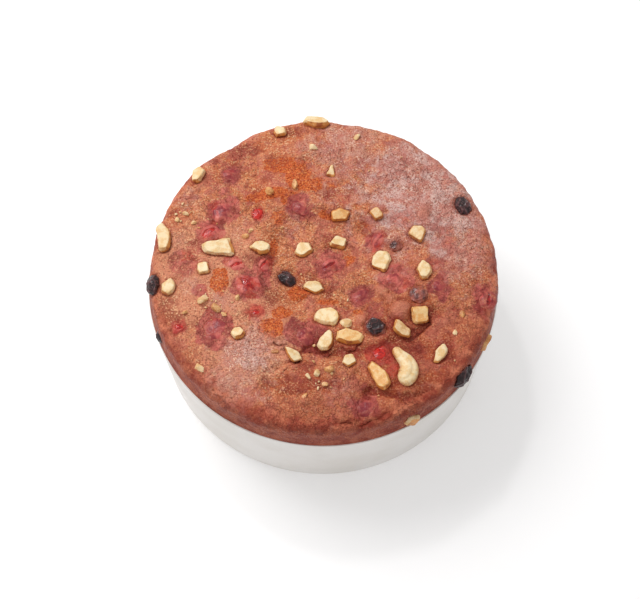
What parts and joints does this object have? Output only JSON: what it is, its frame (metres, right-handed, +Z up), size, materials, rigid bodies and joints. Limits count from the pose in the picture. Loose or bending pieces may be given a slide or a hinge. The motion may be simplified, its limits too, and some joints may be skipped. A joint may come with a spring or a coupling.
{
  "type": "fruit cake",
  "caption": "Round fruit cake in a plain white paper baking case, its browned crust set with chopped cashew nuts, raisins and candied cherries.",
  "frame": {"origin": "centre of the flat underside of the paper case, on the surface that the cake stands on", "axes": "+Z up through the middle of the cake; -Y towards the side with the whole cashew, which lies a little to the +X side; +X to the right"},
  "size_m": [0.17, 0.17, 0.07],
  "materials": {
    "white_paper": "matte",
    "crust": "matte",
    "pale_nut": "satin",
    "tawny_nut": "satin",
    "raisin": "satin",
    "cherry": "satin"
  },
  "bodies": {
    "root": {"paper_case": "white_paper", "nut_far_edge": "pale_nut", "nut_far_left": "pale_nut", "nut_left_shoulder": "pale_nut", "nut_back": "pale_nut", "nut_left_long": "pale_nut", "nut_left_broad": "pale_nut", "nut_dip_left": "pale_nut", "nut_left_small": "pale_nut", "nut_left_rim": "pale_nut", "nut_pale": "pale_nut", "nut_sliver": "pale_nut", "nut_dip_back": "tawny_nut", "nut_right_back": "pale_nut", "nut_right_wedge": "pale_nut", "nut_dip_right": "pale_nut", "nut_right": "pale_nut", "nut_square": "tawny_nut", "nut_dip_front": "pale_nut", "nut_drop": "pale_nut", "nut_tawny": "tawny_nut", "nut_wedge": "pale_nut", "nut_front_small": "pale_nut", "nut_front_long": "tawny_nut", "nut_front_right": "pale_nut", "nut_right_side": "tawny_nut", "nut_front_side": "pale_nut", "nut_middle_left": "pale_nut", "nut_middle_back": "pale_nut", "nut_middle_front": "pale_nut", "raisin_left": "raisin", "raisin_right_back": "raisin", "raisin_right_side": "raisin", "raisin_front": "raisin", "raisin_left_side": "raisin", "raisin_dusty": "raisin", "raisin_half_sunk": "raisin", "raisin_middle": "raisin", "cherry_bright": "cherry", "cherry_back_purple": "cherry", "cherry_back_left": "cherry", "cherry_left_shoulder": "cherry", "cherry_left_pink": "cherry", "cherry_left_slit": "cherry", "cherry_left_front": "cherry", "cherry_far_left": "cherry", "cherry_dark": "cherry", "cherry_crease": "cherry", "cherry_front": "cherry", "cherry_right": "cherry", "cherry_far_right": "cherry", "cherry_right_edge": "cherry", "cherry_near_edge": "cherry", "fruit_dip_back": "cherry", "fruit_dip_right": "cherry", "fruit_dip_front": "cherry", "fruit_dip_left": "cherry", "cherry_middle": "cherry", "cashew_whole": "pale_nut", "cake": "crust"}
  },
  "joints": []
}
